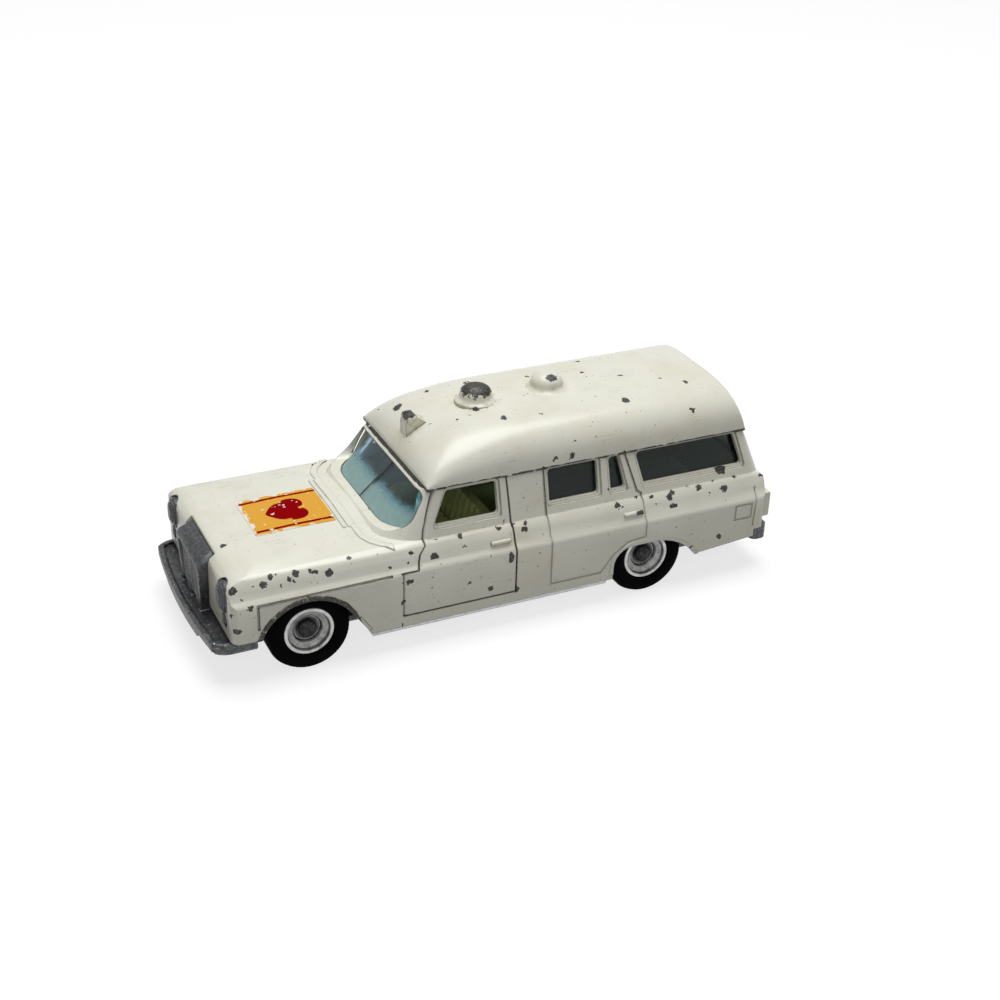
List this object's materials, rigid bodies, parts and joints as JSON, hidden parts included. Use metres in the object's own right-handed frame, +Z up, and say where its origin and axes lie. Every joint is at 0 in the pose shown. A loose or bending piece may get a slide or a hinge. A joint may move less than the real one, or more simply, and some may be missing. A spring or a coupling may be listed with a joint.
{
  "type": "toy ambulance",
  "caption": "Toy die-cast ambulance: cream long-roof estate with opening front doors, lifting tailgate, tinted windows, roof beacons, free-rolling wheels and a worn bonnet label.",
  "frame": {"origin": "on the ground under the middle of the overall box", "axes": "+X forward along the length, +Y to the left side, +Z up"},
  "size_m": [0.107, 0.0398, 0.0378],
  "materials": {
    "cream_enamel": "gloss enamel, chipped",
    "bare_casting": "unpainted zinc casting, dull",
    "axle_steel": "darkened steel",
    "bright_hub": "turned, worn",
    "black_tyre": "matt black",
    "tinted_glazing": "clear, blue-green tint",
    "olive_plastic": "satin moulding",
    "pale_plastic": "satin moulding",
    "printed_label": "printed film, worn"
  },
  "bodies": {
    "body": {"body_shell": "cream_enamel", "base_plate": "bare_casting", "window_unit": "tinted_glazing", "interior_moulding": "olive_plastic", "steering_wheel": "olive_plastic", "stretcher": "pale_plastic", "front_axle": "axle_steel", "rear_axle": "axle_steel", "base_rivets": "bare_casting", "bonnet_label": "printed_label"},
    "left_front_door": {"left_door": "cream_enamel"},
    "right_front_door": {"right_door": "cream_enamel"},
    "rear_gate": {"tailgate": "cream_enamel", "tailgate_window": "tinted_glazing"},
    "front_left_wheel": {"front_left_hub": "bright_hub", "front_left_tyre": "black_tyre"},
    "front_right_wheel": {"front_right_hub": "bright_hub", "front_right_tyre": "black_tyre"},
    "rear_left_wheel": {"rear_left_hub": "bright_hub", "rear_left_tyre": "black_tyre"},
    "rear_right_wheel": {"rear_right_hub": "bright_hub", "rear_right_tyre": "black_tyre"}
  },
  "joints": [
    {"name": "left_door_hinge", "type": "hinge", "parent": "body", "child": "left_front_door", "pos_m": [0.0189, 0.0182, 0.0109], "axis": [0, 0, -1], "range_deg": [0, 55]},
    {"name": "right_door_hinge", "type": "hinge", "parent": "body", "child": "right_front_door", "pos_m": [0.0189, -0.0182, 0.0109], "axis": [0, 0, 1], "range_deg": [0, 55]},
    {"name": "tailgate_hinge", "type": "hinge", "parent": "body", "child": "rear_gate", "pos_m": [-0.04695, 0, 0.02942], "axis": [0, 1, 0], "range_deg": [0, 60]},
    {"name": "front_left_spin", "type": "hinge", "parent": "body", "child": "front_left_wheel", "pos_m": [0.0362, 0.0163, 0.0072], "axis": [0, 1, 0], "continuous": true},
    {"name": "front_right_spin", "type": "hinge", "parent": "body", "child": "front_right_wheel", "pos_m": [0.0362, -0.0163, 0.0072], "axis": [0, 1, 0], "continuous": true},
    {"name": "rear_left_spin", "type": "hinge", "parent": "body", "child": "rear_left_wheel", "pos_m": [-0.0276, 0.0163, 0.0072], "axis": [0, 1, 0], "continuous": true},
    {"name": "rear_right_spin", "type": "hinge", "parent": "body", "child": "rear_right_wheel", "pos_m": [-0.0276, -0.0163, 0.0072], "axis": [0, 1, 0], "continuous": true}
  ]
}
